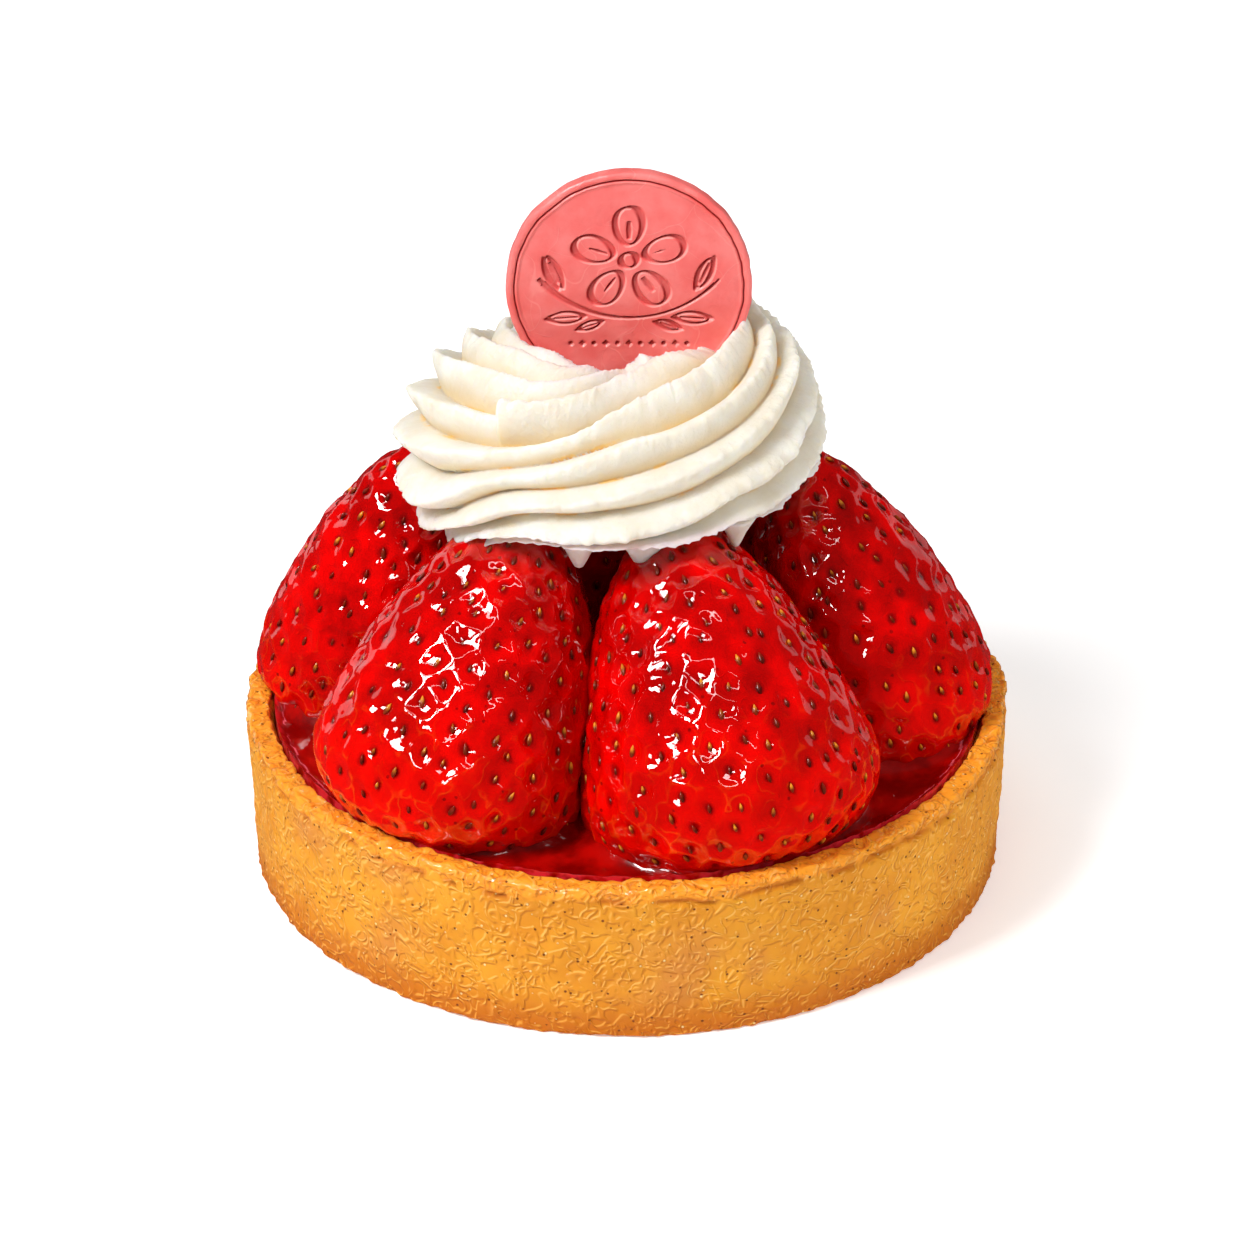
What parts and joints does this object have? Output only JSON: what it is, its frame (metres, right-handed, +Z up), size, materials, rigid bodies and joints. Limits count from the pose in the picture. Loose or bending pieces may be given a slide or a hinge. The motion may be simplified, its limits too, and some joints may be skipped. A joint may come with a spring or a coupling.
{
  "type": "strawberry tart",
  "caption": "Round pastry tart shell filled with strawberry jelly, whole glazed strawberries standing in a ring, a whipped cream rosette and a chocolate medallion on top.",
  "frame": {"origin": "centre of the shell's flat underside", "axes": "+Z up, -Y towards the front that the medallion faces, +X to the right seen from the front"},
  "size_m": [0.0852, 0.085, 0.0806],
  "materials": {
    "pastry": "baked sweet shortcrust, golden, fine crumb",
    "jelly": "set strawberry jelly, wet gloss",
    "strawberry": "ripe strawberry under clear glaze, wet gloss",
    "cream": "whipped cream, soft satin",
    "chocolate": "coral pink coloured white chocolate, waxy satin"
  },
  "bodies": {
    "root": {"tart_shell": "pastry", "jelly_filling": "jelly", "strawberry_front_right": "strawberry", "strawberry_front_left": "strawberry", "strawberry_right": "strawberry", "strawberry_left": "strawberry", "strawberry_back_right": "strawberry", "strawberry_back_left": "strawberry", "whipped_cream": "cream", "chocolate_medallion": "chocolate"}
  },
  "joints": []
}
